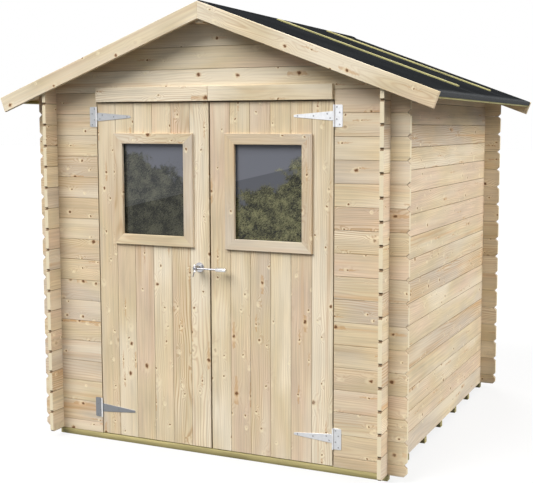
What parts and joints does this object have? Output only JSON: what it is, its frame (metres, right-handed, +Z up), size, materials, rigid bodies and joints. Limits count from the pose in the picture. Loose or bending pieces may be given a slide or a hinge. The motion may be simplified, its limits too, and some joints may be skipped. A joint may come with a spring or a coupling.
{
  "type": "wooden garden shed",
  "caption": "Square log-board garden shed with a low felted gable roof and glazed double doors, for storing garden tools.",
  "frame": {"origin": "on the ground at the centre of the overall plan, at the underside of the floor joists", "axes": "+X to the right as seen from the front, along the doorway; +Y from the doors to the back; +Z up"},
  "size_m": [2.2946, 2.016, 2.1775],
  "materials": {
    "wall_board": "planed untreated spruce",
    "door_board": "planed untreated spruce",
    "trim_board": "planed untreated spruce",
    "roof_board": "planed untreated spruce",
    "floor_board": "planed untreated spruce",
    "treated_joist": "green pressure-treated",
    "treated_batten": "pale green treated",
    "roofing_felt": "matt bitumen felt",
    "zinc_steel": "zinc plated",
    "bright_metal": "polished",
    "window_glass": "clear dark pane"
  },
  "bodies": {
    "shell": {"floor_joists": "treated_joist", "floor_deck": "floor_board", "left_wall": "wall_board", "right_wall": "wall_board", "back_wall": "wall_board", "back_gable": "wall_board", "front_wall_left": "wall_board", "front_wall_right": "wall_board", "front_gable": "wall_board", "lintel_left": "trim_board", "lintel_right": "trim_board", "jamb_left": "trim_board", "jamb_right": "trim_board", "door_head_rail": "trim_board", "ridge_purlin": "trim_board", "roof_boards_left": "roof_board", "roof_boards_right": "roof_board", "felt_left": "roofing_felt", "felt_right": "roofing_felt", "felt_battens_left": "treated_batten", "felt_battens_right": "treated_batten", "eave_strips_left": "treated_batten", "eave_strips_right": "treated_batten", "barge_front_left": "trim_board", "barge_front_right": "trim_board", "barge_rear_left": "trim_board", "barge_rear_right": "trim_board", "hinge_plates_left": "zinc_steel", "hinge_plates_right": "zinc_steel"},
    "left_door": {"left_door_boards": "door_board", "left_door_ledges": "trim_board", "left_window_frame": "trim_board", "left_window_inner_frame": "trim_board", "left_window_glass": "window_glass", "left_hinge_straps": "zinc_steel", "latch_rose": "bright_metal"},
    "right_door": {"right_door_boards": "door_board", "right_door_ledges": "trim_board", "right_window_frame": "trim_board", "right_window_inner_frame": "trim_board", "right_window_glass": "window_glass", "right_hinge_straps": "zinc_steel"},
    "latch_lever": {"latch_lever": "bright_metal"}
  },
  "joints": [
    {"name": "left_door_hinge", "type": "hinge", "parent": "shell", "child": "left_door", "pos_m": [-0.6355, -0.9055, 0.9], "axis": [0, 0, -1], "range_deg": [0, 150]},
    {"name": "right_door_hinge", "type": "hinge", "parent": "shell", "child": "right_door", "pos_m": [0.6355, -0.9055, 0.9], "axis": [0, 0, 1], "range_deg": [0, 150]},
    {"name": "latch_lever_turn", "type": "hinge", "parent": "left_door", "child": "latch_lever", "pos_m": [-0.058, -0.92, 0.923], "axis": [0, -1, 0], "range_deg": [0, 90]}
  ]
}
